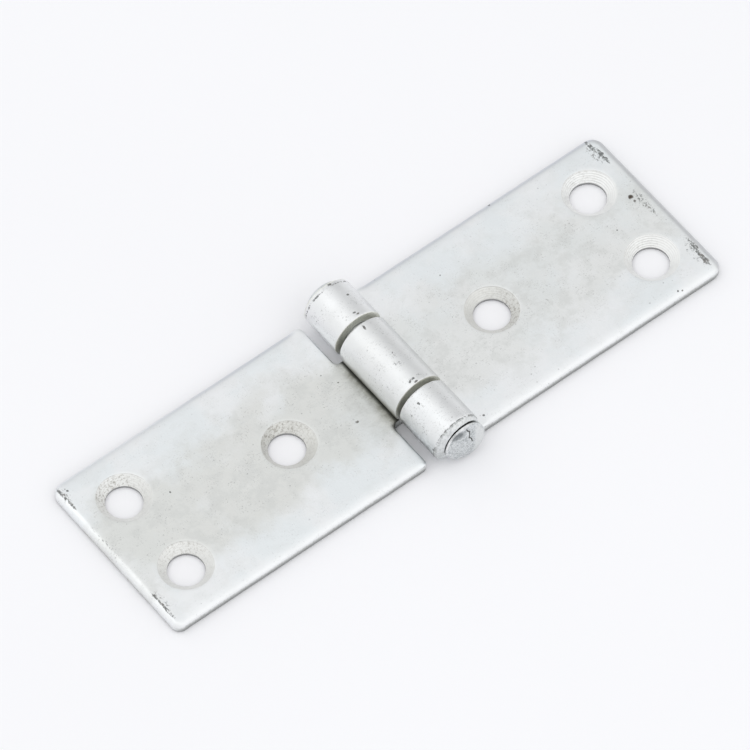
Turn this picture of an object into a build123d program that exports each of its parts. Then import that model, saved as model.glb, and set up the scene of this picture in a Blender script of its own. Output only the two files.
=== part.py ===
"""Two-leaf strap hinge with a rolled barrel and a riveted pin.

Frame: origin on the mounting plane, straight below the pin axis and halfway along the barrel.
+X runs along the strap towards the leaf with two knuckles, +Y runs along the pin, +Z points away
from the surface that the hinge is screwed to. Millimetres throughout.
"""
import os
from math import cos, radians, sin

from build123d import *

# ---- leaves -------------------------------------------------------------------------------
SHEET = 1.8  # sheet thickness, also the wall of every knuckle
LEAF_WIDTH = 30.0  # along the pin
LEAF_REACH = 50.0  # pin axis to the outer end of a leaf
OUTER_CORNER_R = 2.0  # rounded corners at the outer end
BARREL_CORNER_FAR_R = 1.0  # barrel-side corners of the one-knuckle leaf, +Y side
BARREL_CORNER_NEAR_R = 0.7  # the same, -Y side
EDGE_ROLL_R = 0.5  # soft top edge left by the stamping die

# ---- barrel -------------------------------------------------------------------------------
BARREL_R = 4.15
EYE_R = BARREL_R - SHEET  # bore of a rolled knuckle
NOTCH_X = 4.9  # pin axis to the edge of a leaf beside a knuckle
NOTCH_CORNER_R = 0.8  # inner corners of the notches
MIDDLE_KNUCKLE = 13.2  # length along the pin
KNUCKLE_GAP = 0.85  # gap at each end of the middle knuckle
CURL_END = 190.0  # the roll is round up to here, degrees from +X, then runs straight
SEAM_GAP = 0.08  # end of the rolled tail to the face of its own leaf
KNUCKLE_RIM = 0.25  # broken edge at the inner ends of the knuckles
END_BEVEL = 0.6  # hammered bevel at the outer ends of the barrel
ROOT_X = 3.9  # where the flat blank hands over to the rolled strip

# ---- screw holes --------------------------------------------------------------------------
HOLE_R = 2.75
SINK_R = 4.1  # countersink radius at the top face, 90 degree cone
PAIR_X = 42.5  # the two holes near the outer end, from the pin axis
PAIR_Y = 7.25  # half the distance between them
SINGLE_X = 18.75  # the hole on the centre line, from the pin axis

# ---- pin ----------------------------------------------------------------------------------
PIN_CLEARANCE = 0.05  # radial, so that the middle knuckle turns freely
PIN_R = EYE_R - PIN_CLEARANCE
HEAD_R = 3.2  # peened head
HEAD_DEPTH = 0.8  # depth of the flared eye that the head is peened into
NEAR_HEAD_WALL = 0.9  # straight side of the -Y head beyond the end of the barrel
NEAR_HEAD_PROUD = 2.1  # crown of the -Y head beyond the end of the barrel
FAR_HEAD_WALL = 0.4  # the same two for the flatter +Y head
FAR_HEAD_PROUD = 1.3

HALF_WIDTH = LEAF_WIDTH / 2
MIDDLE_HALF = MIDDLE_KNUCKLE / 2
OUTER_FROM = MIDDLE_HALF + KNUCKLE_GAP
OUTER_KNUCKLE = HALF_WIDTH - OUTER_FROM


def on_circle(radius, degrees):
    """Point on a circle about the pin axis, as (x, z)."""
    angle = radians(degrees)
    return radius * cos(angle), BARREL_R + radius * sin(angle)


def rolled_strip(y_from, length):
    """The strip of a left-hand leaf that passes under the pin and curls over it."""
    along = radians(CURL_END)
    down_x, down_z = -sin(along), cos(along)
    outer_x, outer_z = on_circle(BARREL_R, CURL_END)
    inner_x, inner_z = on_circle(EYE_R, CURL_END)
    tail = (outer_z - SHEET - SEAM_GAP) / -down_z
    with BuildSketch(Plane.XZ) as profile:
        with BuildLine():
            Line((-ROOT_X, 0), (0, 0))
            CenterArc((0, BARREL_R), BARREL_R, -90, CURL_END + 90)
            Polyline(
                (outer_x, outer_z),
                (outer_x + tail * down_x, outer_z + tail * down_z),
                (inner_x + tail * down_x, inner_z + tail * down_z),
                (inner_x, inner_z),
            )
            CenterArc((0, BARREL_R), EYE_R, -90, CURL_END + 90)
            Polyline((0, SHEET), (-ROOT_X, SHEET), (-ROOT_X, 0))
        make_face()
    strip = extrude(profile.sketch, amount=-length)
    return Pos(0, y_from, 0) * strip


def soften(strip, y, size):
    """Breaks the outer rim of a knuckle on its end face at the given y."""
    rims = [
        edge
        for edge in strip.edges().filter_by(GeomType.CIRCLE)
        if abs(edge.radius - BARREL_R) < 1e-3 and abs(edge.center().Y - y) < 1e-3
    ]
    return chamfer(rims, size)


def leaf_blank(outline, corners):
    """The flat sheet of a left-hand leaf, its vertical corners rounded and its top edge rolled."""
    blank = extrude(make_face(Polyline(*outline, close=True)), SHEET)
    for radius, spots in corners:
        picked = [
            edge
            for edge in blank.edges().filter_by(Axis.Z)
            if any(abs(edge.center().X - x) < 0.01 and abs(edge.center().Y - y) < 0.01 for x, y in spots)
        ]
        blank = fillet(picked, radius)
    top = blank.faces().sort_by(Axis.Z)[-1]
    rolled = [edge for edge in top.edges() if edge.center().X < -ROOT_X - 0.01]
    return fillet(rolled, EDGE_ROLL_R)


def screw_holes():
    """The three countersunk holes of a left-hand leaf, as solids to cut away."""
    cone_depth = SINK_R - HOLE_R
    tools = []
    for x, y in ((-PAIR_X, PAIR_Y), (-PAIR_X, -PAIR_Y), (-SINGLE_X, 0)):
        shank = Cylinder(HOLE_R, 3 * SHEET)
        sink = Pos(0, 0, SHEET - cone_depth / 2) * Cone(HOLE_R, SINK_R, cone_depth)
        tools.append(Pos(x, y, 0) * (shank + sink))
    return tools


def one_knuckle_leaf():
    """Leaf on the -X side, with the middle knuckle."""
    outline = [
        (-LEAF_REACH, -HALF_WIDTH),
        (-NOTCH_X, -HALF_WIDTH),
        (-NOTCH_X, -MIDDLE_HALF),
        (-ROOT_X, -MIDDLE_HALF),
        (-ROOT_X, MIDDLE_HALF),
        (-NOTCH_X, MIDDLE_HALF),
        (-NOTCH_X, HALF_WIDTH),
        (-LEAF_REACH, HALF_WIDTH),
    ]
    corners = [
        (OUTER_CORNER_R, [(-LEAF_REACH, -HALF_WIDTH), (-LEAF_REACH, HALF_WIDTH)]),
        (BARREL_CORNER_NEAR_R, [(-NOTCH_X, -HALF_WIDTH)]),
        (BARREL_CORNER_FAR_R, [(-NOTCH_X, HALF_WIDTH)]),
        (NOTCH_CORNER_R, [(-NOTCH_X, -MIDDLE_HALF), (-NOTCH_X, MIDDLE_HALF)]),
    ]
    strip = rolled_strip(-MIDDLE_HALF, MIDDLE_KNUCKLE)
    strip = soften(strip, -MIDDLE_HALF, KNUCKLE_RIM)
    strip = soften(strip, MIDDLE_HALF, KNUCKLE_RIM)
    return leaf_blank(outline, corners) + strip - screw_holes()


def flared_eye(side):
    """The cone at one outer end of the barrel that a pin head is peened into."""
    flare = Cone(PIN_R, HEAD_R, HEAD_DEPTH)
    return Pos(0, side * (HALF_WIDTH - HEAD_DEPTH / 2), BARREL_R) * Rot(-90 * side, 0, 0) * flare


def two_knuckle_leaf():
    """Leaf on the +X side, with the two outer knuckles. Built on the -X side and turned round."""
    outline = [
        (-LEAF_REACH, -HALF_WIDTH),
        (-ROOT_X, -HALF_WIDTH),
        (-ROOT_X, -OUTER_FROM),
        (-NOTCH_X, -OUTER_FROM),
        (-NOTCH_X, OUTER_FROM),
        (-ROOT_X, OUTER_FROM),
        (-ROOT_X, HALF_WIDTH),
        (-LEAF_REACH, HALF_WIDTH),
    ]
    corners = [
        (OUTER_CORNER_R, [(-LEAF_REACH, -HALF_WIDTH), (-LEAF_REACH, HALF_WIDTH)]),
        (NOTCH_CORNER_R, [(-NOTCH_X, -OUTER_FROM), (-NOTCH_X, OUTER_FROM)]),
    ]
    leaf = leaf_blank(outline, corners)
    for inner, outer in ((OUTER_FROM, HALF_WIDTH), (-OUTER_FROM, -HALF_WIDTH)):
        strip = rolled_strip(min(inner, outer), OUTER_KNUCKLE)
        strip = soften(strip, inner, KNUCKLE_RIM)
        leaf += soften(strip, outer, END_BEVEL)
    leaf = leaf - screw_holes() - [flared_eye(side) for side in (-1, 1)]
    return Rot(0, 0, 180) * leaf


def pin_half(head_wall, head_proud):
    """Half of the pin, from the middle of the barrel to the domed head on its +Y side."""
    dome_rise = head_proud - head_wall
    dome_r = (HEAD_R**2 + dome_rise**2) / (2 * dome_rise)
    rim_y = HALF_WIDTH + head_wall
    crown_y = HALF_WIDTH + head_proud
    with BuildSketch(Plane.XY) as half:
        with BuildLine():
            Polyline(
                (0, 0),
                (PIN_R, 0),
                (PIN_R, HALF_WIDTH - HEAD_DEPTH),
                (HEAD_R, HALF_WIDTH),
                (HEAD_R, rim_y),
            )
            RadiusArc((HEAD_R, rim_y), (0, crown_y), -dome_r)
            Line((0, crown_y), (0, 0))
        make_face()
    return revolve(half.sketch, Axis.Y)


def hinge_pin():
    """Plain shank with both ends peened into domed heads."""
    far = pin_half(FAR_HEAD_WALL, FAR_HEAD_PROUD)
    near = mirror(pin_half(NEAR_HEAD_WALL, NEAR_HEAD_PROUD), Plane.XZ)
    return Pos(0, 0, BARREL_R) * (far + near)


PARTS = {
    "leaf_one_knuckle": one_knuckle_leaf(),
    "leaf_two_knuckle": two_knuckle_leaf(),
    "hinge_pin": hinge_pin(),
}

os.makedirs("parts", exist_ok=True)
for node, solid in PARTS.items():
    export_step(solid, f"parts/{node}.step")
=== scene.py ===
"""Strap hinge lying open: zinc-plated leaves, rolled barrel and peened pin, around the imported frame.

Shapes are worked out in millimetres in the frame's own axes and become metres when a mesh is made.
"""

import math

import bpy
import numpy as np
from mathutils import Matrix, Vector, noise
from mathutils.geometry import delaunay_2d_cdt


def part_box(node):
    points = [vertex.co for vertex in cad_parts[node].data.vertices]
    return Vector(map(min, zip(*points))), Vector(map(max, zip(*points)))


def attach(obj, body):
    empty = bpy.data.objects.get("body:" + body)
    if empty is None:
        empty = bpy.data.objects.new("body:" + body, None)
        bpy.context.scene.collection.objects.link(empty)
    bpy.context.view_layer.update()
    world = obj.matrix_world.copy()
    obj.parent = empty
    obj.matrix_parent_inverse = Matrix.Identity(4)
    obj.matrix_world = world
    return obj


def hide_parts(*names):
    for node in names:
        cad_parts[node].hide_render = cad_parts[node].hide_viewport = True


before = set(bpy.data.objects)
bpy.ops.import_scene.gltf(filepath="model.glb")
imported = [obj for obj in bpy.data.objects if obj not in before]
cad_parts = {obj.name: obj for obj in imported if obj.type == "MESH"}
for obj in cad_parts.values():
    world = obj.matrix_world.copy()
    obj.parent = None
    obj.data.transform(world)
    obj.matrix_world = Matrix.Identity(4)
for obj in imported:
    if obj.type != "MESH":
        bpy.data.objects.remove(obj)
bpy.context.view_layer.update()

MM = 0.001

# ---- sizes, millimetres --------------------------------------------------------------------
LEAF_LOW, LEAF_HIGH = (np.array(corner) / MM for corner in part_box("leaf_one_knuckle"))
REACH = -LEAF_LOW[0]  # pin axis to the outer end of a leaf
HALF_WIDTH = LEAF_HIGH[1]
BARREL_R = LEAF_HIGH[2] / 2
SHEET = 1.8
NOTCH_X = 4.9
MIDDLE_HALF = 6.6  # half the length of the middle knuckle
OUTER_FROM = 7.45  # where the outer knuckles start
HOLE_R = 2.75
SINK_R = 4.05
PAIR_X, PAIR_Y, SINGLE_X = 42.5, 7.25, 18.75
PIN_R = 2.3
PIN_NEAR, PIN_FAR = (corner[1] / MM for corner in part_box("hinge_pin"))

CURL = math.radians(280)  # the round part, from the tangent point under the pin
ROUND_END = BARREL_R * CURL
TAIL = (BARREL_R * (1 - math.cos(CURL)) - SHEET - 0.08) / -math.sin(CURL)
STRIP_END = ROUND_END + TAIL

STEP = 0.6  # mesh spacing on the flat
FINE = 0.2  # mesh spacing round the roll
CROSS_STEP = 0.35  # mesh spacing along the short edges near the barrel
ARC_STEP = 0.16  # mesh spacing round a corner
FINE_FROM = -5.2  # where the mesh turns fine
STATIONS = np.concatenate([
    np.arange(-REACH + 2.2, FINE_FROM, STEP),
    np.arange(FINE_FROM, STRIP_END - 0.5, FINE),
])


def smooth(low, high, value):
    """0 below low, 1 above high, with an S curve between."""
    t = np.clip((np.asarray(value, float) - low) / (high - low), 0, 1)
    return t * t * (3 - 2 * t)


def ripple(x, y, z=0.0, size=1.0):
    """Smooth noise between about -1 and 1 with features of the given size."""
    return noise.noise(Vector((x / size, y / size, z / size)))


# ---- flat patterns ---------------------------------------------------------------------------
def bend(s, y, w):
    """Rolls a flat-pattern point up.

    s runs along the strap to the barrel and on round it, w is the height above the back.
    """
    s, y, w = (np.asarray(v, float) for v in (s, y, w))
    turn = np.clip(s, 0, ROUND_END) / BARREL_R
    radius = BARREL_R - w
    past = np.clip(s - ROUND_END, 0, None)
    x = radius * np.sin(turn) + np.minimum(s, 0) + past * math.cos(CURL)
    z = BARREL_R - radius * np.cos(turn) + past * math.sin(CURL)
    return np.stack([x, y, z], axis=-1)


def outline(corners):
    """Closed counter-clockwise outline with rounded corners.

    Rows of s, y, inward normal and corner radius, which is 0 on straights.
    """
    count = len(corners)
    arcs = []
    for i, (x, y, r) in enumerate(corners):
        here = np.array((x, y), float)
        before = np.array(corners[i - 1][:2], float)
        after = np.array(corners[(i + 1) % count][:2], float)
        u = (here - before) / np.linalg.norm(here - before)
        v = (after - here) / np.linalg.norm(after - here)
        turn = math.atan2(u[0] * v[1] - u[1] * v[0], u @ v)
        side = math.copysign(1, turn)
        start = here - u * r * math.tan(abs(turn) / 2)
        centre = start + side * r * np.array((-u[1], u[0]))
        steps = max(5, math.ceil(abs(turn) * r / ARC_STEP))
        arc = []
        for k in range(steps + 1):
            a = turn * k / steps
            rel = start - centre
            cos_a, sin_a = math.cos(a), math.sin(a)
            rel = np.array((rel[0] * cos_a - rel[1] * sin_a, rel[0] * sin_a + rel[1] * cos_a))
            arc.append((*(centre + rel), *(-side * rel / r), r if side > 0 else 0.0))
        arcs.append(arc)
    rows = []
    for i, arc in enumerate(arcs):
        rows += arc
        a, b = np.array(arc[-1][:2]), np.array(arcs[(i + 1) % count][0][:2])
        length = np.linalg.norm(b - a)
        along = (b - a) / length
        if abs(along[0]) > 0.9:
            spots = [t for t in (STATIONS - a[0]) / along[0] if 0.12 < t < length - 0.12]
        else:
            pieces = max(1, round(length / (STEP if a[0] < -10 else CROSS_STEP)))
            spots = [length * k / pieces for k in range(1, pieces)]
        normal = np.array((-along[1], along[0]))
        rows += [(*(a + along * t), *normal, 0.0) for t in sorted(spots)]
    return np.array(rows)


# Edge sections from the top face, over the edge, to the back: inward distance and height above the back.
T = SHEET
SECTIONS = {
    "edge": [
        (1.8, T), (1.3, T - 0.012), (0.9, T - 0.045), (0.6, T - 0.1), (0.36, T - 0.19), (0.17, T - 0.32),
        (0.05, T - 0.48), (0, T - 0.68), (0.01, 0.8), (0.03, 0.45), (0.03, 0.17), (0.06, 0.06), (0.13, 0.01),
        (0.3, 0),
    ],
    "end": [
        (1.8, T), (1.1, T - 0.004), (0.82, T - 0.014), (0.7, T - 0.05), (0.46, T - 0.15), (0.25, T - 0.3),
        (0.1, T - 0.5), (0, T - 0.82), (0.01, 0.65), (0.03, 0.4), (0.05, 0.25), (0.12, 0.12), (0.2, 0.03),
        (0.36, 0),
    ],
    "rim": [
        (0.6, T), (0.42, T), (0.27, T), (0.14, T - 0.02), (0.06, T - 0.06), (0.02, T - 0.12), (0, T - 0.2),
        (0, T - 0.4), (0.01, 1.0), (0, 0.6), (0, 0.17), (0.04, 0.06), (0.11, 0.01), (0.3, 0),
    ],
    "lip": [
        (1.0, T), (0.7, 1.74), (0.4, 1.56), (0.1, 1.36), (-0.2, 1.2), (-0.5, 1.07), (-0.7, 1.02),
        (-0.79, 0.96), (-0.82, 0.87), (-0.74, 0.72), (-0.47, 0.36), (-0.22, 0.05), (-0.15, 0.0), (0.3, 0),
    ],
    "far": [
        (1.0, T), (0.7, 1.72), (0.4, 1.5), (0.2, 1.3), (0.08, 1.15), (0.02, 1.0), (0, 0.85),
        (0, 0.7), (0.01, 0.52), (0.03, 0.36), (0.08, 0.2), (0.2, 0.07), (0.42, 0.02), (0.9, 0),
    ],
    "tail": [
        (0.35, T), (0.25, T), (0.15, T - 0.01), (0.08, T - 0.03), (0.03, T - 0.07), (0.01, T - 0.12),
        (0, T - 0.2), (0, T - 0.4), (0, 1.0), (0, 0.5), (0, 0.14), (0.02, 0.05), (0.07, 0.01), (0.18, 0),
    ],
}
SECTIONS = {name: np.array(section) for name, section in SECTIONS.items()}
SIDE_FROM, SIDE_TO = 7, 10  # rows of a section that make the cut side face


def sections_along(rows, two_knuckles):
    """The section at each outline point: one kind per stretch, blended where stretches meet."""
    out = []
    for s, y, ns, ny, corner in rows:
        on_strip = float(smooth(-4.4, -2.2, s))
        at_end = float(np.clip(ns, 0, 1)) ** 2 if s < -REACH + 3 else 0.0
        flat = (1 - at_end) * SECTIONS["edge"] + at_end * SECTIONS["end"]
        # the edges beside the barrel were cut later and stay crisp
        flat = flat.copy()
        crisp = float(smooth(-7.5, -5.2, s))
        flat[:8, 0] *= 1 - 0.68 * crisp
        flat[:8, 1] = T - (T - flat[:8, 1]) * (1 - 0.6 * crisp)
        if two_knuckles and abs(y) > 12:
            strip = SECTIONS["lip" if y > 0 else "far"]
        else:
            strip = SECTIONS["rim"]
        at_tail = float(smooth(0.3, 0.95, -ns)) if s > ROUND_END else 0.0
        strip = (1 - at_tail) * strip + at_tail * SECTIONS["tail"]
        section = (1 - on_strip) * flat + on_strip * strip
        out.append(section)
    out = np.array(out)
    # a convex corner tighter than the section is deep gets a shallower section, eased in along the edge
    reach = np.max(np.abs(out[:, :, 0]), axis=1)
    keep = np.where(rows[:, 4] > 0, np.minimum(1, 0.85 * rows[:, 4] / reach), 1.0)
    spacing = np.linalg.norm(np.roll(rows[:, :2], -1, axis=0) - rows[:, :2], axis=1)
    for sweep in (1, -1):
        for _ in range(2):
            order = range(len(rows)) if sweep > 0 else range(len(rows) - 1, -1, -1)
            for i in order:
                j = (i - sweep) % len(rows)
                gap = spacing[j] if sweep > 0 else spacing[i]
                keep[i] = min(keep[i], keep[j] + 0.45 * gap)
    out[:, :, 0] *= keep[:, None]
    return out


def triangles_in(ring, holes, spare):
    """Triangulates the flat region inside ring and outside the round holes.

    Gives the points, those of the loops first, and the triangles.
    """
    loops = [ring] + holes
    fixed = np.concatenate(loops)
    centres = [hole.mean(axis=0) for hole in holes]
    radii = [np.linalg.norm(hole[0] - c) for hole, c in zip(holes, centres)]
    inner = inside(ring, spare)
    for c, r in zip(centres, radii):
        inner &= np.linalg.norm(spare - c, axis=1) > r + 0.12
    spare = spare[inner]
    spare = spare[clearance(spare, ring) > 0.14]
    points = np.concatenate([fixed, spare])
    edges, at = [], 0
    for loop in loops:
        edges += [(at + k, at + (k + 1) % len(loop)) for k in range(len(loop))]
        at += len(loop)
    result = delaunay_2d_cdt([Vector(p) for p in points], edges, [], 0, 1e-6)
    found, tris = result[0], [tuple(t) for t in result[2]]
    assert len(found) == len(points), "the outline crosses itself"
    middles = np.array([points[list(t)].mean(axis=0) for t in tris])
    good = inside(ring, middles)
    for hole in holes:
        good &= ~inside(hole, middles)
    area = [(points[b][0] - points[a][0]) * (points[c][1] - points[a][1])
            - (points[c][0] - points[a][0]) * (points[b][1] - points[a][1]) for a, b, c in tris]
    return points, [t if s > 0 else t[::-1] for t, g, s in zip(tris, good, area) if g and abs(s) > 1e-7]


def clearance(points, ring):
    """Distance from each point to the nearest side of a closed polygon."""
    side = np.roll(ring, -1, axis=0) - ring
    rel = points[:, None, :] - ring[None, :, :]
    t = np.clip(np.sum(rel * side, axis=2) / np.sum(side * side, axis=1), 0, 1)
    return np.min(np.linalg.norm(rel - t[:, :, None] * side, axis=2), axis=1)


def inside(ring, points):
    """Which points lie inside a closed polygon."""
    x, y = points[:, 0][:, None], points[:, 1][:, None]
    x0, y0 = ring[:, 0][None, :], ring[:, 1][None, :]
    x1, y1 = np.roll(ring[:, 0], -1)[None, :], np.roll(ring[:, 1], -1)[None, :]
    span = (y0 > y) != (y1 > y)
    with np.errstate(divide="ignore", invalid="ignore"):
        cut = x0 + (y - y0) * (x1 - x0) / (y1 - y0)
    return (np.sum(span & (x < cut), axis=1) % 2) == 1


MASKS = ("cut", "cone", "lip", "edge", "bore", "ring", "soil", "grit")


class Shell:
    """Collects vertices, faces and per-vertex masks for one closed mesh."""

    def __init__(self):
        self.points, self.faces = [], []
        self.masks = {name: [] for name in MASKS}
        self.count = 0

    def add(self, points, **masks):
        start = self.count
        points = np.asarray(points, float)
        self.points.append(points)
        for name, values in self.masks.items():
            values.append(np.broadcast_to(masks.get(name, 0.0), (len(points),)).astype(float))
        self.count += len(points)
        return np.arange(start, self.count)

    def strip(self, first, second, closed=True):
        """Quads between two rows of vertices, facing left of first to second."""
        n = len(first)
        for k in range(n if closed else n - 1):
            j = (k + 1) % n
            self.faces.append((int(first[k]), int(second[k]), int(second[j]), int(first[j])))

    def mesh(self, name, at):
        """A new mesh object in metres, its points passed through at()."""
        points = at(np.concatenate(self.points)) * MM
        data = bpy.data.meshes.new(name)
        data.from_pydata([tuple(p) for p in points], [], self.faces)
        for mask, values in self.masks.items():
            layer = data.attributes.new(mask, "FLOAT", "POINT")
            layer.data.foreach_set("value", np.concatenate(values).astype(np.float32))
        data.shade_smooth()
        piece = bpy.data.objects.new(name, data)
        bpy.context.scene.collection.objects.link(piece)
        return piece


def hole_rings(turned, lean):
    """The rings of one hole, from the face down.

    Each is radius, height, the cone, bore and ring masks, the chatter and how far up the cone it is.
    """
    rings = [(SINK_R + 0.5, SHEET, 0, 0, 0, 0, 1), (SINK_R + 0.1, SHEET - 0.002, 0.1, 0, 0, 0, 1),
             (SINK_R + 0.03, SHEET - 0.012, 0.6, 0, 0.8, 0, 1), (SINK_R, SHEET - 0.035, 1, 0, 1, 0, 1)]
    steps = 26
    for k in range(steps + 1):
        t = k / steps
        wave = turned * math.sin(2 * math.pi * (5.2 * t + lean))
        deep = (0.5 - 0.5 * wave / turned) ** 3 * turned / 0.04
        radius = SINK_R - 0.03 - (SINK_R - HOLE_R - 0.05) * t
        rings.append((radius, SHEET - 0.07 - 1.25 * t, 1, 0, deep, wave, 1 - t))
    rings += [
        (HOLE_R + 0.01, 0.44, 0.5, 0.5, 0, 0, 0), (HOLE_R, 0.4, 0, 1, 0, 0, 0), (HOLE_R, 0.2, 0, 1, 0, 0, 0),
        (HOLE_R + 0.01, 0.07, 0, 1, 0, 0, 0), (HOLE_R + 0.07, 0.01, 0, 0.5, 0, 0, 0),
        (HOLE_R + 0.22, 0, 0, 0, 0, 0, 0),
    ]
    return rings


HOLE_SIDES = 96
LIP_THICKER = {6: 0.8, 7: 1, 8: 1, 9: 0.85, 10: 0.45, 11: 0.05}  # how far each section row follows the lip
EDGE_LIGHT_AND_WEAR = {1: 0.2, 2: 0.5, 3: 0.8, 4: 1.0, 5: 1.0, 6: 0.9, 7: 0.5}  # how strongly each section row takes the edge tints: painted highlight round the edges, painted shade along the near and far long edges, and wear at the dragged end


def leaf_shell(corners, two_knuckles, holes):
    """A left-hand leaf in its flat pattern, as a Shell whose points are s, y and w."""
    shell = Shell()
    rows = outline(corners)
    sections = sections_along(rows, two_knuckles)
    # the sheared edge wanders a little, always inwards
    wander = np.array([0.02 + 0.02 * ripple(s, y, 3.0, 2.3) for s, y in rows[:, :2]])
    wander *= 1 - smooth(-5.5, -3.5, rows[:, 0])
    base = rows[:, :2] + rows[:, 2:4] * wander[:, None]
    knuckle = rows[:, 0] > -3.5
    rings = []
    for k in range(sections.shape[1]):
        offset = sections[:, k, 0]
        spot = base + rows[:, 2:4] * offset[:, None]
        height = sections[:, k, 1]
        sheared = 0.15 + 0.85 * rows[:, 3] ** 2  # the long edges are sheared, the ends were ground
        # the bottom rows everywhere take the cut colour, whose painted shade makes a dark line along the floor
        sheared = np.maximum(sheared, 0.9 if SIDE_TO <= k <= SIDE_TO + 2 else 0.0)
        cut = np.where(knuckle, 1.0 if 2 < k < 12 else 0.0, sheared if SIDE_FROM <= k <= SIDE_TO + 2 else 0.0)
        lip = bore = 0.0
        if two_knuckles:
            at_lip = smooth(-1.0, 1.0, rows[:, 0]) * (rows[:, 3] < -0.5) * (rows[:, 1] > 12)
            grow, thin = lip_shape(rows[:, 0])
            if k in LIP_THICKER:
                height = height + at_lip * thin * LIP_THICKER[k]
            if 6 <= k <= 12:
                spot = spot - rows[:, 2:4] * (at_lip * grow)[:, None]
            hit = smooth(-1.0, 1.0, rows[:, 0]) * (np.abs(rows[:, 3]) > 0.5) * (np.abs(rows[:, 1]) > 12)
            hit = hit * (1.0 if 4 < k < 13 else 0.0)
            knock = np.array([ripple(s, k / 2.5, 5.0, 0.75) for s in rows[:, 0]])
            height = height + 0.05 * hit * (knock + 0.2)
            spot = spot + rows[:, 2:4] * (0.07 * hit * (knock + 0.4))[:, None]
            lip = at_lip * (1.0 if 5 < k < 12 else 0.0)
            # painted shade on the lip beside the gap round the pin's head
            bore = at_lip * (1.0 if k < 7 else 0.0) * open_gap(np.pi * 1.5 - rows[:, 0] / BARREL_R)
            cut = cut * (1 - at_lip)
        plain = 1 - smooth(-7.5, -5.2, rows[:, 0])
        edge = np.where(knuckle, 0.0, plain * EDGE_LIGHT_AND_WEAR.get(k, 0.0))
        rings.append(shell.add(np.column_stack([spot, height]), cut=cut, lip=lip, edge=edge, bore=bore))
    for a, b in zip(rings, rings[1:]):
        shell.strip(a, b)
    flat = np.concatenate(shell.points)
    top_ring, back_ring = flat[rings[0]][:, :2], flat[rings[-1]][:, :2]
    top_holes, back_holes, loops_top, loops_back = [], [], [], []
    around = 2 * np.pi * np.arange(HOLE_SIDES) / HOLE_SIDES
    for hx, hy, turned, lean, soiled, gritty, grit_side, off_x, off_y in holes:
        rough_side = math.radians(-115 if two_knuckles else 60)
        chatter = 0.12 + 0.88 * (0.5 + 0.5 * np.cos(around - rough_side)) ** 2
        grit = gritty * (0.5 + 0.5 * np.cos(around - math.radians(grit_side))) ** 2
        circles = []
        for r, w, cone, bore, groove, wave, up in hole_rings(turned, lean):
            # the drill wandered a hair and chattered in places
            rr = r + (0.015 * np.sin(3 * around + lean * 9) + 0.01 * np.sin(11 * around + 5 * lean)) * cone
            rr = rr + 0.5 * wave * chatter
            x = hx + off_x * up + rr * np.cos(around)
            y = hy + off_y * up + rr * np.sin(around)
            masks = {"cone": cone, "soil": cone * soiled, "grit": cone * grit, "bore": bore}
            masks["ring"] = groove * chatter
            circles.append(shell.add(np.column_stack([x, y, w + wave * chatter]), **masks))
        for a, b in zip(circles, circles[1:]):
            shell.strip(b, a)
        flat = np.concatenate(shell.points)
        top_holes.append(flat[circles[0]][:, :2])
        back_holes.append(flat[circles[-1]][:, :2])
        loops_top.append(circles[0])
        loops_back.append(circles[-1])
    ys = np.arange(-HALF_WIDTH + 0.3, HALF_WIDTH, STEP)
    grid = np.array([(s, y) for s in STATIONS for y in ys])
    for ring, ring_ids, hole_loops, hole_ids, height, upward in (
        (top_ring, rings[0], top_holes, loops_top, SHEET, True),
        (back_ring, rings[-1], back_holes, loops_back, 0.0, False),
    ):
        points, tris = triangles_in(ring, hole_loops, grid)
        known = np.concatenate([ring_ids] + hole_ids)
        extra = points[len(known):]
        ids = np.concatenate([known, shell.add(np.column_stack([extra, np.full(len(extra), height)]))])
        for a, b, c in tris:
            face = (int(ids[a]), int(ids[b]), int(ids[c]))
            shell.faces.append(face if upward else face[::-1])
    return shell


def open_gap(angle):
    """How open the gap between the near head and its eye is round the pin, and so how much painted shade it takes."""
    return smooth(0.3, 1.2, angle) * (1 - smooth(2.85, 3.25, angle))


def lip_shape(s):
    """How much further out, and how much thicker, the hammered near lip is at each station of the roll."""
    # the angle runs from +X towards +Z, once the leaf is turned round
    angle = np.pi * 1.5 - np.clip(s, 0, ROUND_END) / BARREL_R
    grow = 0.02 + 0.2 * np.cos(angle - math.radians(150))
    thin = -0.52 * np.cos(angle) - 0.05 * np.sin(angle)  # the eye sits off centre towards +X
    return grow, thin


def leaf_at(points):
    """Flat pattern to space for a left-hand leaf, with the slight unevenness of pressed sheet."""
    s, y, w = points.T
    sway = np.array([ripple(a, b, 7.0, 9.0) + 0.4 * ripple(a, b, 2.0, 3.0) for a, b in zip(s, y)])
    sway = 0.03 * (sway - 0.9) * np.where(s > -4.0, 0.0, smooth(-4.0, -7.0, s)) * smooth(0.9, SHEET, w)
    return bend(s, y, w + sway)


def leaf_turned(points):
    """The same for the right-hand leaf, which is the left-hand one turned half way round."""
    out = leaf_at(points)
    out[:, :2] *= -1
    return out


one_corners = [
    (-REACH, -HALF_WIDTH, 1.4), (-NOTCH_X, -HALF_WIDTH, 0.7),
    (-NOTCH_X, -MIDDLE_HALF, 1.15), (STRIP_END, -MIDDLE_HALF, 0.35),
    (STRIP_END, MIDDLE_HALF - 0.2, 0.35), (-NOTCH_X, MIDDLE_HALF - 0.2, 0.8),
    (-NOTCH_X, HALF_WIDTH, 1.0), (-REACH, HALF_WIDTH, 2.0),
]
two_corners = [
    (-REACH, -HALF_WIDTH, 2.0), (STRIP_END, -HALF_WIDTH, 0.35),
    (STRIP_END, -OUTER_FROM, 0.35), (-NOTCH_X, -OUTER_FROM, 0.8),
    (-NOTCH_X, OUTER_FROM, 0.8), (STRIP_END, OUTER_FROM, 0.35),
    (STRIP_END, HALF_WIDTH, 0.35), (-REACH, HALF_WIDTH, 2.0),
]
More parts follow.
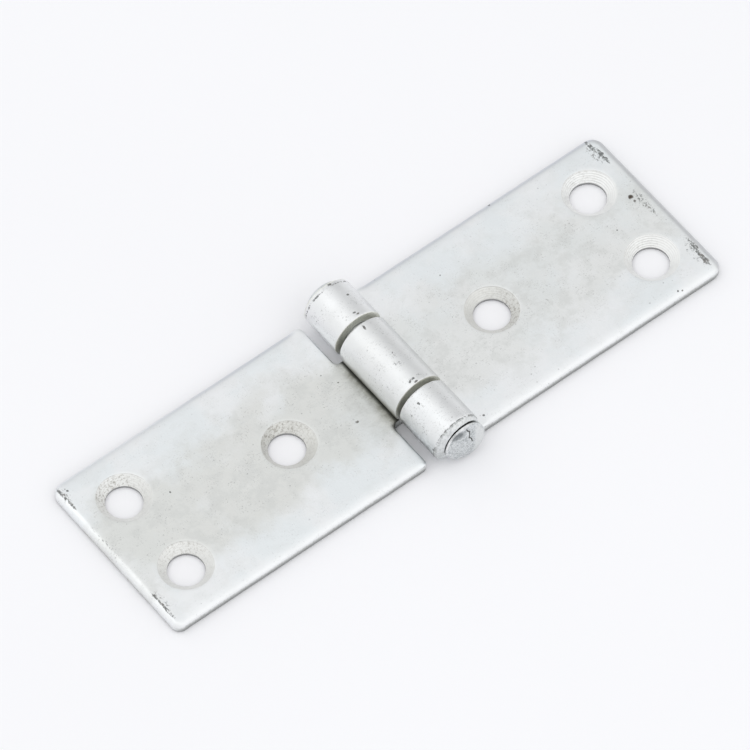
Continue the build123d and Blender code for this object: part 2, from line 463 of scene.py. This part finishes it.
# Holes: x, y, depth and lean of the turned grooves, soil, grit and the side it lies on in degrees, and
# how far the countersink is off centre in x and y.
one_holes = [
    (-PAIR_X, PAIR_Y, 0.012, 0.1, 0.3, 1.0, 100, 0.0, 0.0),
    (-PAIR_X, -PAIR_Y, 0.01, 0.6, 0.35, 0.5, 80, 0.0, 0.0),
    (-SINGLE_X, 0, 0.012, 0.3, 0.75, 1.0, 85, 0.26, -0.2),
]
two_holes = [
    (-PAIR_X, PAIR_Y, 0.034, 0.2, 0.05, 0.3, -80, -0.12, 0.0),
    (-PAIR_X, -PAIR_Y, 0.04, 0.5, 0.0, 0.35, -90, -0.16, 0.02),
    (-SINGLE_X, 0, 0.016, 0.8, 0.65, 0.7, 150, 0.0, 0.0),
]
leaf_one = leaf_shell(one_corners, False, one_holes).mesh("leaf_one_visual", leaf_at)
leaf_two = leaf_shell(two_corners, True, two_holes).mesh("leaf_two_visual", leaf_turned)


# ---- pin ---------------------------------------------------------------------------------------
HEAD_SHIFT, HEAD_DROP = 0.78, 0.32  # the near head sits off centre, towards +X and down
HEAD_R = 3.3
PIN_SIDES = 160
# The split in the near head, about the head's own centre.
CRACK = np.array([
    (0.24, 2.7), (0.36, 2.25), (0.7, 1.88), (0.62, 1.27), (0.44, 0.87), (0.8, 0.47), (0.95, -0.28),
])


def to_path(px, pz, path):
    """Distance from points to a polyline."""
    best = np.full(px.shape, 1e9)
    for a, b in zip(path, path[1:]):
        d = b - a
        t = np.clip(((px - a[0]) * d[0] + (pz - a[1]) * d[1]) / (d @ d), 0, 1)
        best = np.minimum(best, np.hypot(px - a[0] - t * d[0], pz - a[1] - t * d[1]))
    return best


def pin_shell():
    """The riveted pin: plain shank, flat far head, and the hammered, pitted near head."""
    shell = Shell()
    around = 2 * np.pi * np.arange(PIN_SIDES) / PIN_SIDES
    rows = [
        (0.35, PIN_FAR - 0.05), (0.9, PIN_FAR - 0.07), (1.6, PIN_FAR - 0.16), (2.3, PIN_FAR - 0.34),
        (2.75, PIN_FAR - 0.52), (2.98, PIN_FAR - 0.7), (3.05, PIN_FAR - 0.9), (3.0, PIN_FAR - 1.15),
        (2.7, PIN_FAR - 1.5), (2.32, PIN_FAR - 2.0),
    ]
    rows += [(PIN_R, y) for y in np.linspace(13.6, -13.6, 18)]
    rows += [(2.33, -14.3), (2.42, -14.7), (2.55, -15.0), (2.65, -15.25), (2.72, -15.45)]
    shank = len(rows)
    # near head, as radius and height above the rim plane: up its side, over the rim, then the face
    rows += [
        (2.85, 0.75), (2.98, 0.5), (3.14, 0.28), (3.26, 0.14),
        (3.3, 0.04), (3.28, -0.05), (3.21, -0.12), (3.11, -0.16),
    ]
    on_side, face_from = shank + 4, shank + 5
    face = [(r, -0.16 - 0.26 * (1 - (r / 3.11) ** 2)) for r in np.linspace(3.02, 0.12, 40)]
    rows += face
    full = smooth(-0.3, 0.6, np.cos(around + math.radians(35)))
    fuller = dict(zip(range(shank - 4, shank + 3), (0.25, 0.45, 0.52, 0.5, 0.4, 0.28, 0.12)))
    rings = []
    for k, (r, y) in enumerate(rows):
        reach = r + fuller.get(k, 0.0) * full
        if k < shank:
            on_head = float(smooth(-14.0, -15.5, y)) if y < 0 else 0.0
            x = reach * np.cos(around) + HEAD_SHIFT * on_head
            z = reach * np.sin(around) - HEAD_DROP * on_head
            yy = np.full(PIN_SIDES, y)
        else:
            lx, lz = reach * np.cos(around), reach * np.sin(around)
            spots = list(zip(lx, lz))
            dent = np.array([0.07 * ripple(a, b, 1.0, 1.5) + 0.022 * ripple(a, b, 5.0, 0.42) for a, b in spots])
            pits = np.array([min(0.0, ripple(a, b, 9.0, 0.27) + 0.28) for a, b in spots])
            on_face = smooth(3.2, 2.88, r)
            crack_width = 0.11 + 0.04 * ripple(7, k / 3)
            groove = np.exp(-((to_path(lx, lz, CRACK) / crack_width) ** 2)) * smooth(3.2, 2.3, r)
            smoothed = smooth(-0.1, 0.5, lx - 1.2 - 0.12 * lz) * on_face  # metal folded over from the eye
            beaten = (dent - 0.16 * pits) * (1 - 0.75 * smoothed)
            rise = y + on_face * (beaten - 0.1 * smoothed + 0.16 * groove)
            tilt = -16.39 - 0.4 * (lx * math.cos(math.radians(50)) - lz * math.sin(math.radians(50))) / HEAD_R
            wall = 0.04 * np.array([ripple(2 * math.cos(t), 2 * math.sin(t), 4.0, 0.8) for t in around])
            bulge = 0.17 * np.exp(-(((around - 1.1) / 0.5) ** 2))
            bulge = bulge + 0.12 * np.exp(-(((around - 3.3) / 0.32) ** 2))
            wall = wall + bulge * smooth(1.5, 3.2, r)
            x = lx * (1 + wall / HEAD_R) + HEAD_SHIFT
            z = lz * (1 + wall / HEAD_R) - HEAD_DROP
            yy = np.maximum(tilt + rise, PIN_NEAR + 0.02)
        cone = 1.0 if k >= face_from else 0.0
        lip = smoothed if k >= face_from else 0.0
        cut = 0.0 if k < shank else groove
        # painted shade on the head's side where it shows in the gap below the lip
        bore = (1.0 if shank - 4 <= k < shank + 3 else 0.7 if k == shank + 3 else 0.0) * open_gap(around)
        rim = 1.0 if on_side <= k <= shank + 7 else 0.5 if k == shank + 8 else 0.0
        # painted highlight: the rim is painted bright at the upper left, where it catches the light
        rim = rim * (0.15 + 0.85 * smooth(0.35, 0.95, np.cos(around - math.radians(132))))
        masks = {"cone": cone, "lip": lip, "cut": cut, "bore": bore, "edge": rim}
        rings.append(shell.add(np.column_stack([x, yy, z + BARREL_R]), **masks))
    for a, b in zip(rings, rings[1:]):
        shell.strip(b, a)
    for ring, flip in ((rings[0], True), (rings[-1], False)):
        flat = np.concatenate(shell.points)
        middle = int(shell.add([flat[ring].mean(axis=0)], cone=1.0)[0])
        for k in range(PIN_SIDES):
            tri = (int(ring[k]), int(ring[(k + 1) % PIN_SIDES]), middle)
            shell.faces.append(tri[::-1] if flip else tri)
    return shell


pin = pin_shell().mesh("pin_visual", lambda points: points)


# ---- materials ---------------------------------------------------------------------------------
class Graph:
    """Short-hand for wiring the nodes of one material."""

    def __init__(self, tree):
        self.tree = tree
        tree.nodes.clear()

    def add(self, kind, inputs=None, **settings):
        node = self.tree.nodes.new(kind)
        for key, value in settings.items():
            setattr(node, key, value)
        for key, value in (inputs or {}).items():
            self.plug(node.inputs[key], value)
        return node

    def plug(self, socket, value):
        if isinstance(value, bpy.types.NodeSocket):
            self.tree.links.new(value, socket)
        else:
            socket.default_value = value

    def math(self, op, a, b=0.0, clamp=False):
        return self.add("ShaderNodeMath", {0: a, 1: b}, operation=op, use_clamp=clamp).outputs[0]

    def times(self, a, b, clamp=False):
        return self.math("MULTIPLY", a, b, clamp)

    def plus(self, a, b, clamp=False):
        return self.math("ADD", a, b, clamp)

    def vector(self, op, a, b=(0, 0, 0)):
        node = self.add("ShaderNodeVectorMath", {0: a, 1: b}, operation=op)
        return node.outputs["Value"] if op in ("LENGTH", "DOT_PRODUCT", "DISTANCE") else node.outputs["Vector"]

    def scaled(self, a, by):
        return self.vector("MULTIPLY", a, by if isinstance(by, tuple) else (by, by, by))

    def ease(self, value, low, high, out_low=0.0, out_high=1.0):
        inputs = {"Value": value, "From Min": low, "From Max": high, "To Min": out_low, "To Max": out_high}
        return self.add("ShaderNodeMapRange", inputs, interpolation_type="SMOOTHSTEP").outputs["Result"]

    def noise(self, point, scale, detail=3.0, rough=0.55):
        inputs = {"Vector": point, "Scale": scale, "Detail": detail, "Roughness": rough}
        return self.add("ShaderNodeTexNoise", inputs).outputs["Fac"]

    def mix(self, factor, a, b):
        node = self.add("ShaderNodeMix", data_type="RGBA")
        for index, value in ((0, factor), (6, a), (7, b)):
            if isinstance(value, tuple) and len(value) == 3:
                value = (*value, 1.0)
            self.plug(node.inputs[index], value)
        return node.outputs[2]

    def mask(self, name):
        return self.add("ShaderNodeAttribute", attribute_name=name).outputs["Fac"]

    def blot(self, point, centre, half):
        """1 in the middle of an ellipsoid, 0 outside it."""
        rel = self.vector("DIVIDE", self.vector("SUBTRACT", point, centre), half)
        return self.ease(self.vector("LENGTH", rel), 1.0, 0.35)

    def most(self, values):
        top = values[0]
        for value in values[1:]:
            top = self.math("MAXIMUM", top, value)
        return top


def on_barrel(degrees, y):
    """Point on the outside of the barrel."""
    a = math.radians(degrees)
    return (BARREL_R * math.cos(a), y, BARREL_R + BARREL_R * math.sin(a))


# Worn places: centre, half size, strength. Scale dragged along the ends, specks and scuffs.
WORN_ONE = [
    ((-49.15, 13.0, 1.7), (0.42, 2.4, 0.7), 0.98), ((-49.1, 10.9, 1.7), (0.33, 2.2, 0.6), 0.9),
    ((-48.8, 12.4, 1.8), (1.0, 2.8, 0.5), 0.5), ((-49.15, 2.0, 1.7), (0.36, 6.0, 0.6), 0.5),
    ((-49.15, -11.6, 1.7), (0.36, 3.2, 0.6), 0.95), ((-49.15, -8.6, 1.7), (0.36, 1.2, 0.6), 0.9),
    ((-48.8, -9.8, 1.8), (0.9, 3.4, 0.5), 0.45), ((-48.2, 13.1, 1.8), (0.24, 0.3, 0.5), 1.4),
    ((-8.5, -3.2, 1.8), (0.42, 0.3, 0.6), 1.3), ((-6.5, 3.8, 1.8), (0.24, 0.2, 0.6), 1.1),
    ((-7.7, 6.3, 1.8), (0.22, 0.22, 0.6), 1.0), ((-36.8, 3.9, 1.8), (0.2, 0.28, 0.6), 1.2),
    # the entry at (-4.9, -7.0, 1.5) is painted shade in the inner corner of the near notch
    ((-4.9, -7.0, 1.5), (0.4, 0.6, 0.6), 1.1), (on_barrel(95, 5.6), (0.28, 0.8, 0.4), 1.2),
    (on_barrel(96, -5.65), (0.7, 0.3, 0.5), 1.05), (on_barrel(103, -5.8), (0.3, 0.24, 0.4), 1.1),
    (on_barrel(93, -6.3), (0.55, 0.24, 0.4), 1.1), (on_barrel(83, -5.6), (1.3, 0.5, 0.6), 0.52),
    (on_barrel(96, -2.1), (0.9, 0.9, 0.6), 0.56), (on_barrel(91, -0.6), (0.5, 1.3, 0.5), 0.5),
]
WORN_TWO = [
    ((47.95, 13.4, 1.7), (0.55, 2.3, 0.6), 0.95), ((48.35, 11.1, 1.7), (0.55, 2.6, 0.6), 1.0),
    ((47.7, 12.0, 1.8), (1.4, 3.8, 0.5), 0.5), ((48.75, -9.3, 1.7), (0.55, 2.9, 0.6), 0.85),
    ((48.45, -12.0, 1.7), (0.7, 2.8, 0.6), 1.0), ((48.1, -10.5, 1.8), (1.3, 4.6, 0.5), 0.52),
    ((46.95, 2.95, 1.8), (0.7, 0.6, 0.6), 1.0), ((46.95, 2.0, 1.8), (0.36, 0.45, 0.6), 1.1),
    ((47.9, 1.0, 1.8), (0.85, 5.2, 0.5), 0.62), ((41.9, -14.1, 1.7), (0.24, 0.24, 0.6), 1.3),
    ((42.5, -14.4, 1.7), (0.22, 0.22, 0.6), 1.3), ((41.7, -0.4, 1.8), (0.18, 0.18, 0.5), 1.2),
    ((29.9, 14.7, 1.6), (0.34, 0.3, 0.6), 1.1), (on_barrel(88, 8.45), (0.4, 0.24, 0.4), 1.15),
    (on_barrel(83.5, 8.0), (0.5, 0.22, 0.4), 1.15), (on_barrel(86, 14.5), (0.7, 0.4, 0.4), 1.1),
    (on_barrel(70, 11.6), (0.36, 0.24, 0.4), 1.2), (on_barrel(120, -9.2), (0.24, 0.55, 0.4), 1.1),
    (on_barrel(150, -9.5), (0.3, 0.28, 0.4), 1.1), (on_barrel(76, -8.3), (0.9, 0.5, 0.5), 0.52),
    (on_barrel(201, -11.4), (0.24, 0.24, 0.3), 1.2), (on_barrel(150, -12.5), (1.2, 1.6, 1.2), 0.42),
    (on_barrel(160, 12.5), (1.2, 1.6, 1.2), 0.42), (on_barrel(172, -15.2), (0.35, 0.35, 0.35), 1.1),
    ((6.4, -13.5, 1.8), (0.32, 0.3, 0.6), 1.25), ((16.6, 9.3, 1.8), (0.2, 0.2, 0.6), 1.1),
]


def zinc(name, worn, warm_side, first_leaf):
    """Bright zinc plate: cloudy, faintly rough, with pits, stains, dragged scale and cut faces, and painted light and
    shade on edges, crease and knuckle ends.
    """
    material = bpy.data.materials.new(name)
    material.use_nodes = True
    g = Graph(material.node_tree)
    place = g.add("ShaderNodeTexCoord").outputs["Object"]
    point = g.scaled(place, 1 / MM)
    x, y, z = (g.add("ShaderNodeSeparateXYZ", {0: point}).outputs[i] for i in range(3))
    cut, cone, lip, edge, bore, ring, soil, grit = (g.mask(name) for name in MASKS)
    on_roll = g.ease(z, 2.1, 3.4)

    clouds = g.noise(point, 0.09, 4.0, 0.6)
    patches = g.noise(g.scaled(point, (1.0, 1.0, 0.5)), 0.36, 5.0, 0.66)
    grain = g.noise(point, 3.2, 3.0, 0.7)
    dust = g.noise(point, 3.4, 3.0, 0.8)
    cool, pale = (0.865, 0.895, 0.91), (0.91, 0.92, 0.93)
    warm, dull = (0.755, 0.757, 0.725), (0.68, 0.69, 0.675)
    colour = g.mix(g.ease(clouds, 0.4, 0.6), cool, pale)
    off_edge = g.ease(g.plus(g.math("ABSOLUTE", y), g.ease(g.noise(point, 0.16, 4.0), 0.3, 0.7, 2.0, -2.0)), 11.5, 5.0)
    middle = g.times(off_edge, g.ease(g.noise(point, 0.16, 4.0), 0.3, 0.52, 0.6, 1.0))
    colour = g.mix(g.times(middle, warm_side), colour, warm)
    stain = g.times(g.ease(patches, 0.45, 0.64), g.plus(0.16, g.times(middle, 0.36)))
    colour = g.mix(stain, colour, dull)
    # painted highlight: the rounded top edges are painted paler than the plate
    colour = g.mix(g.times(edge, 0.35), colour, (0.93, 0.94, 0.95))
    colour = g.mix(g.times(on_roll, 0.75), colour, (0.825, 0.83, 0.835))
    # painted shade: the far long edge is painted darker and bluer, less so towards leaf one's outer end, and the near
    # long edge a little darker
    far_edge_shade = g.times(edge, g.ease(y, 13.9, 14.5))
    if first_leaf:
        far_edge_shade = g.times(far_edge_shade, g.ease(x, -42.0, -14.0, 0.45, 1.0))
    colour = g.mix(g.times(far_edge_shade, 0.7), colour, (0.60, 0.62, 0.67))
    near_edge_shade = g.times(edge, g.ease(y, -13.6, -14.3))
    colour = g.mix(g.times(near_edge_shade, 0.6), colour, (0.84, 0.845, 0.85))
    if not first_leaf:  # this leaf's outer end was dragged and went grey
        dragged = g.times(edge, g.ease(x, 48.6, 49.3))
        colour = g.mix(g.times(dragged, 0.8), colour, (0.58, 0.585, 0.60))

    # fine pits and dust, thicker in some places than others
    cells = g.add("ShaderNodeTexVoronoi", {"Vector": point, "Scale": 0.8, "Randomness": 1.0})
    chosen = g.ease(g.add("ShaderNodeSeparateXYZ", {0: cells.outputs["Color"]}).outputs[0], 0.74, 0.8)
    crowd = g.ease(g.noise(point, 0.16, 2.0), 0.4, 0.6)
    pits = g.times(g.ease(cells.outputs["Distance"], 0.14, 0.05), g.times(chosen, crowd))
    dusty = g.times(g.ease(dust, 0.55, 0.68), g.ease(g.noise(point, 0.45, 3.0), 0.42, 0.62))
    dusty = g.times(dusty, g.plus(0.3, g.times(g.math("MAXIMUM", on_roll, middle), 0.4)))
    colour = g.mix(dusty, colour, (0.36, 0.36, 0.35))
    colour = g.mix(g.times(pits, 0.5), colour, (0.3, 0.3, 0.3))

    # worn places break up into grains and short drags
    speckle = g.noise(g.scaled(point, (1.0, 0.65, 1.0)), 3.0, 4.0, 0.85)
    marks = []
    for centre, half, strength in worn:
        marks.append(g.times(g.blot(point, centre, half), strength))
    patchy = g.ease(g.noise(point, 0.7, 2.0), 0.4, 0.6, 0.6, 1.0)
    drags = (((-0.042, 1.0, 0.024), -15.1, 0.3, 1.25), ((0.02, 1.0, 0.0), 14.2, 0.3, 0.85))
    for lean, along, width, strength in drags:
        line = g.math("ABSOLUTE", g.math("SUBTRACT", g.vector("DOT_PRODUCT", point, lean), along))
        line = g.times(g.ease(line, width, width * 0.2), g.times(on_roll, patchy))
        marks.append(g.times(line, strength))
    worn_in = g.ease(g.plus(g.times(g.most(marks), 0.85), g.times(g.math("SUBTRACT", speckle, 0.5), 3.2)),
                     0.5, 0.85)
    rust = g.mix(g.ease(g.noise(point, 0.9, 2.0), 0.5, 0.62), (0.085, 0.09, 0.085), (0.13, 0.115, 0.10))
    colour = g.mix(g.times(worn_in, 0.8), colour, rust)

    # scuffs on the roll: sparse dark flecks and paler rubs
    fleck = g.noise(g.scaled(point, (1.0, 0.6, 1.0)), 1.9, 4.0, 0.8)
    rubbed = g.times(on_roll, g.ease(g.noise(point, 0.33, 2.0), 0.4, 0.6, 0.3, 1.0))
    colour = g.mix(g.times(g.times(g.ease(fleck, 0.62, 0.74), rubbed), 0.4), colour, (0.40, 0.41, 0.41))
    colour = g.mix(g.times(g.times(g.ease(fleck, 0.42, 0.3), rubbed), 0.5), colour, (0.97, 0.97, 0.97))

    # painted shade: darkening towards the crease beside the roll, spreading wider towards the near end and broken up
    # by noise
    if first_leaf:
        spread = g.plus(3.7, g.times(y, -0.33))
        away = g.math("DIVIDE", g.math("SUBTRACT", -3.9, x), g.math("MAXIMUM", spread, 1.2))
        near_roll = g.times(g.math("POWER", g.ease(x, -6.2, -3.9), 1.5), 0.8)
        fall = g.plus(near_roll, g.times(g.ease(away, 1.5, 0.1), 0.3))
        beside = g.ease(g.math("ABSOLUTE", g.plus(y, 1.4)), 8.4, 4.6)
        low = g.times(g.ease(z, 3.4, 1.95), g.ease(z, 0.7, 1.4))  # on the top side only
        low = g.times(low, g.ease(x, -1.6, -3.0))
        grime_and_crease_shade = g.times(g.times(fall, beside), low)
        wiped = g.noise(g.scaled(point, (0.5, 1.6, 1.0)), 0.9, 4.0, 0.7)
        wiped = g.times(g.ease(wiped, 0.48, 0.66), g.times(g.ease(x, -11.0, -6.0), g.times(beside, low)))
        grime_and_crease_shade = g.plus(grime_and_crease_shade, g.times(wiped, 0.13))
        grime_and_crease_shade = g.times(grime_and_crease_shade, g.ease(g.noise(point, 0.9, 5.0, 0.75), 0.25, 0.7, 0.45, 1.0))
        colour = g.mix(g.times(grime_and_crease_shade, 0.92), colour, (0.28, 0.275, 0.23))
        # painted shadow: a near-black line where the roll's tail meets the plate
        seam_shadow = g.times(g.ease(x, -4.5, -3.85), g.ease(z, 2.35, 1.9))
        seam_shadow = g.times(seam_shadow, g.ease(g.math("ABSOLUTE", y), 7.6, 6.4))
        seam_shadow = g.times(seam_shadow, g.ease(z, 1.3, 1.7))
        colour = g.mix(g.times(seam_shadow, 0.9), colour, (0.06, 0.06, 0.05))
        grime_and_crease_shade = g.math("MAXIMUM", grime_and_crease_shade, seam_shadow)
    else:
        grime_and_crease_shade = g.ease(g.noise(point, 0.3, 2.0), 0.6, 0.75, 0.0, 0.15)

    swarf = g.ease(g.noise(point, 2.6, 4.0, 0.75), 0.45, 0.7)
    turned = g.mix(soil, (0.95, 0.95, 0.94), (0.70, 0.695, 0.66))
    turned = g.mix(g.times(swarf, g.plus(g.times(soil, 0.4), g.times(grit, 1.2)), clamp=True),
                   turned, (0.40, 0.38, 0.34))
    colour = g.mix(g.times(cone, 0.85), colour, turned)
    colour = g.mix(g.times(ring, g.ease(patches, 0.3, 0.7, 0.75, 0.25)), colour, (0.42, 0.42, 0.40))
    # painted shade on the hole walls and on the lip beside the gap round the pin's head
    colour = g.mix(g.times(bore, 0.92), colour, (0.30, 0.30, 0.30))
    streaks = g.noise(g.scaled(point, (1.0, 1.0, 0.25)), 2.8, 3.0, 0.7)
    # painted shade: the cut faces darken towards the back, where they meet the floor
    sheared = g.mix(g.ease(z, 0.35, 1.2), (0.33, 0.335, 0.33), (0.76, 0.77, 0.76))
    sheared = g.mix(g.ease(streaks, 0.42, 0.7, 0.0, 0.6), sheared, (0.40, 0.405, 0.39))
    # painted light: the knuckles' end faces are painted lighter towards the top, brightest on leaf two, whose end
    # faces show in the gaps
    bright = (0.62, 0.62, 0.56) if first_leaf else (0.98, 0.985, 0.93)
    end_face_shading = g.mix(g.ease(z, 3.2, 7.6), (0.55, 0.55, 0.49), bright)
    sheared = g.mix(on_roll, sheared, g.mix(g.ease(grain, 0.35, 0.7, 0.0, 0.35), end_face_shading, (0.38, 0.38, 0.34)))
    colour = g.mix(g.times(cut, 0.9), colour, sheared)
    if first_leaf:  # painted shade: a dark blot in the inner corner of the near notch
        corner = g.blot(point, (-4.6, -7.2, 1.0), (1.3, 1.1, 1.8))
        colour = g.mix(g.times(corner, 0.7), colour, (0.2, 0.205, 0.19))
    else:  # a brown spot by the outer end
        spot = g.blot(point, (46.95, 2.95, 1.8), (0.5, 0.42, 0.6))
        colour = g.mix(g.times(spot, 0.8), colour, (0.10, 0.07, 0.05))
    # the near knuckle's lower left flank is painted darker, broken up by noise
    flank = g.times(g.times(g.ease(y, -6.8, -8.5), g.ease(x, -1.4, -3.4)), g.ease(z, 6.6, 3.6))
    flank = g.times(flank, 0.0 if first_leaf else 1.0)
    flank = g.times(flank, g.ease(g.noise(point, 1.6, 5.0, 0.75), 0.3, 0.62, 0.35, 1.0))
    colour = g.mix(g.times(flank, 0.85), colour, (0.32, 0.33, 0.33))
    beaten = g.mix(g.ease(g.noise(point, 2.2, 4.0, 0.7), 0.42, 0.66), (0.78, 0.80, 0.795), (0.52, 0.54, 0.53))
    colour = g.mix(g.times(lip, 0.65), colour, beaten)

    rough = g.plus(g.ease(patches, 0.3, 0.7, 0.34, 0.44), g.times(cone, 0.12))
    rough = g.plus(rough, g.times(g.math("MAXIMUM", worn_in, g.math("MAXIMUM", cut, grime_and_crease_shade)), 0.22), clamp=True)

    # relief: cloudy orange peel, fine grain, drawn lines and pits
    drawn = g.noise(g.scaled(point, (0.25, 2.4, 2.4)), 2.4, 2.0, 0.5)
    relief = g.plus(g.times(g.noise(point, 0.9, 3.0, 0.5), 0.35), g.times(grain, 0.2))
    relief = g.plus(relief, g.times(drawn, 0.04))
    relief = g.plus(relief, g.times(dust, 0.16))
    relief = g.math("SUBTRACT", relief, g.times(g.math("MAXIMUM", pits, worn_in), 0.35))
    relief = g.plus(relief, g.times(g.times(cut, g.noise(point, 4.5, 4.0, 0.7)), 0.5))
    bump = g.add("ShaderNodeBump", {"Height": relief, "Strength": 0.6, "Distance": 0.00007})

    shader = g.add("ShaderNodeBsdfPrincipled", {"Base Color": colour, "Metallic": 1.0, "Roughness": rough,
                                               "Normal": bump.outputs["Normal"]})
    g.add("ShaderNodeOutputMaterial", {"Surface": shader.outputs[0]})
    return material


def peened(name):
    """The pin: drawn bright shank, and a grey hammered face full of small pits."""
    material = bpy.data.materials.new(name)
    material.use_nodes = True
    g = Graph(material.node_tree)
    point = g.scaled(g.add("ShaderNodeTexCoord").outputs["Object"], 1 / MM)
    face, folded, split = g.mask("cone"), g.mask("lip"), g.mask("cut")
    mottle = g.noise(point, 1.3, 5.0, 0.7)
    grain = g.noise(point, 3.2, 4.0, 0.85)
    colour = g.mix(g.ease(mottle, 0.35, 0.65), (0.74, 0.76, 0.765), (0.62, 0.64, 0.645))
    hammered = g.mix(g.ease(grain, 0.44, 0.62), (0.74, 0.76, 0.765), (0.42, 0.44, 0.45))
    hammered = g.mix(g.ease(mottle, 0.58, 0.72, 0.0, 0.8), hammered, (0.30, 0.33, 0.34))
    colour = g.mix(g.times(face, 0.9), colour, hammered)
    colour = g.mix(g.times(folded, 0.8), colour, (0.78, 0.79, 0.785))
    # a smoky patch just inside the upper rim
    smoke = g.blot(point, (-0.6, -16.3, BARREL_R + 1.95), (1.75, 1.8, 1.0))
    smoke = g.times(smoke, g.ease(mottle, 0.3, 0.55, 0.6, 1.0))
    colour = g.mix(g.times(smoke, 0.85), colour, (0.17, 0.185, 0.19))
    colour = g.mix(g.ease(split, 0.25, 0.8, 0.0, 0.9), colour, (0.07, 0.07, 0.065))
    # painted shade in the gap between the near head and its eye
    colour = g.mix(g.times(g.mask("bore"), 0.85), colour, (0.24, 0.245, 0.235))
    # painted highlight on the near head's rim
    colour = g.mix(g.times(g.mask("edge"), g.ease(mottle, 0.3, 0.6, 0.9, 0.4)), colour, (0.93, 0.935, 0.93))
    relief = g.plus(g.times(grain, 0.8), g.times(g.noise(point, 2.0, 3.0), 0.5))
    bump = g.add("ShaderNodeBump", {"Height": relief, "Strength": 0.5, "Distance": 0.00008})
    rough = g.ease(mottle, 0.3, 0.7, 0.34, 0.5)
    shader = g.add("ShaderNodeBsdfPrincipled", {"Base Color": colour, "Metallic": 1.0, "Roughness": rough,
                                               "Normal": bump.outputs["Normal"]})
    g.add("ShaderNodeOutputMaterial", {"Surface": shader.outputs[0]})
    return material


for piece, node, body, slot, material in (
    (leaf_one, "leaf_one_knuckle", "moving_leaf", "zinc_leaf", zinc("zinc_one", WORN_ONE, 0.75, True)),
    (leaf_two, "leaf_two_knuckle", "fixed_leaf", "zinc_leaf", zinc("zinc_two", WORN_TWO, 0.45, False)),
    (pin, "hinge_pin", "fixed_leaf", "zinc_pin", peened("peened_steel")),
):
    piece.data.materials.append(material)
    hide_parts(node)
    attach(piece, body)


# ---- floor, light, camera ------------------------------------------------------------------------
def paper(name):
    material = bpy.data.materials.new(name)
    material.use_nodes = True
    g = Graph(material.node_tree)
    place = g.add("ShaderNodeTexCoord").outputs["Object"]
    fibre = g.noise(place, 900.0, 4.0, 0.6)
    colour = g.mix(g.ease(g.noise(place, 6.0, 2.0), 0.3, 0.7), (0.925, 0.92, 0.94), (0.94, 0.935, 0.955))
    bump = g.add("ShaderNodeBump", {"Height": fibre, "Strength": 0.1, "Distance": 0.00005})
    shader = g.add("ShaderNodeBsdfPrincipled", {"Base Color": colour, "Roughness": 0.7, "Specular IOR Level": 0.2,
                                               "Normal": bump.outputs["Normal"]})
    g.add("ShaderNodeOutputMaterial", {"Surface": shader.outputs[0]})
    return material


floor_mesh = bpy.data.meshes.new("floor")
side, cells = 3.0, 8
posts = cells + 1
lattice = [(side * (i / cells - 0.5), side * (j / cells - 0.5), -0.00002) for j in range(posts) for i in range(posts)]
quads = [(j * posts + i, j * posts + i + 1, (j + 1) * posts + i + 1, (j + 1) * posts + i)
         for j in range(cells) for i in range(cells)]
floor_mesh.from_pydata(lattice, [], quads)
floor = bpy.data.objects.new("floor", floor_mesh)
bpy.context.scene.collection.objects.link(floor)
floor_mesh.materials.append(paper("floor_paper"))

# A light tent: pale all round, brightest overhead to the left, duller low down behind to the right.
world = bpy.data.worlds.new("tent")
bpy.context.scene.world = world
world.use_nodes = True
w = Graph(world.node_tree)
direction = w.vector("NORMALIZE", w.add("ShaderNodeTexCoord").outputs["Generated"])


def lobe(towards, power):
    aim = tuple(Vector(towards).normalized())
    return w.math("POWER", w.math("MAXIMUM", w.vector("DOT_PRODUCT", direction, aim), 0.0), power)


glow = w.plus(0.94, w.times(lobe((-0.3, 0.25, 0.9), 5.0), 0.08))
glow = w.plus(glow, w.times(lobe((-0.85, 0.43, 0.3), 5.0), 0.06))
glow = w.plus(glow, w.times(lobe((0.2, -0.6, 0.75), 3.0), 0.22))
glow = w.math("SUBTRACT", glow, w.times(lobe((0.62, 0.6, 0.52), 12.0), 0.42))
backdrop = w.add("ShaderNodeBackground", {"Color": (0.985, 0.995, 1.0, 1.0), "Strength": glow})
w.add("ShaderNodeOutputWorld", {"Surface": backdrop.outputs[0]})


def softbox(name, spot, size, power):
    light = bpy.data.lights.new(name, "AREA")
    light.shape = "RECTANGLE"
    light.size, light.size_y = size
    light.energy = power
    lamp = bpy.data.objects.new(name, light)
    lamp.location = spot
    lamp.rotation_euler = (-Vector(spot)).to_track_quat("-Z", "Y").to_euler()
    bpy.context.scene.collection.objects.link(lamp)
    return lamp


softbox("key_softbox", (-0.42, 0.42, 1.1), (1.1, 0.9), 0.6)

CAMERA_AIM = (-0.0008, 0.00247, 0)
CAMERA_DISTANCE = 1.274
CAMERA_AZIMUTH, CAMERA_ELEVATION, CAMERA_ROLL = (math.radians(a) for a in (-38.067, 56.594, -0.13))

camera_data = bpy.data.cameras.new("camera")
camera_data.sensor_width = 36.0
camera_data.lens = 424.84
camera_data.clip_end = 20.0
camera = bpy.data.objects.new("camera", camera_data)
camera.matrix_world = (Matrix.Translation(CAMERA_AIM) @ Matrix.Rotation(CAMERA_AZIMUTH, 4, "Z")
                       @ Matrix.Rotation(math.pi / 2 - CAMERA_ELEVATION, 4, "X") @ Matrix.Rotation(CAMERA_ROLL, 4, "Z")
                       @ Matrix.Translation((0, 0, CAMERA_DISTANCE)))
bpy.context.scene.collection.objects.link(camera)
bpy.context.scene.camera = camera
bpy.context.scene.view_settings.view_transform = "Standard"

bpy.context.view_layer.update()
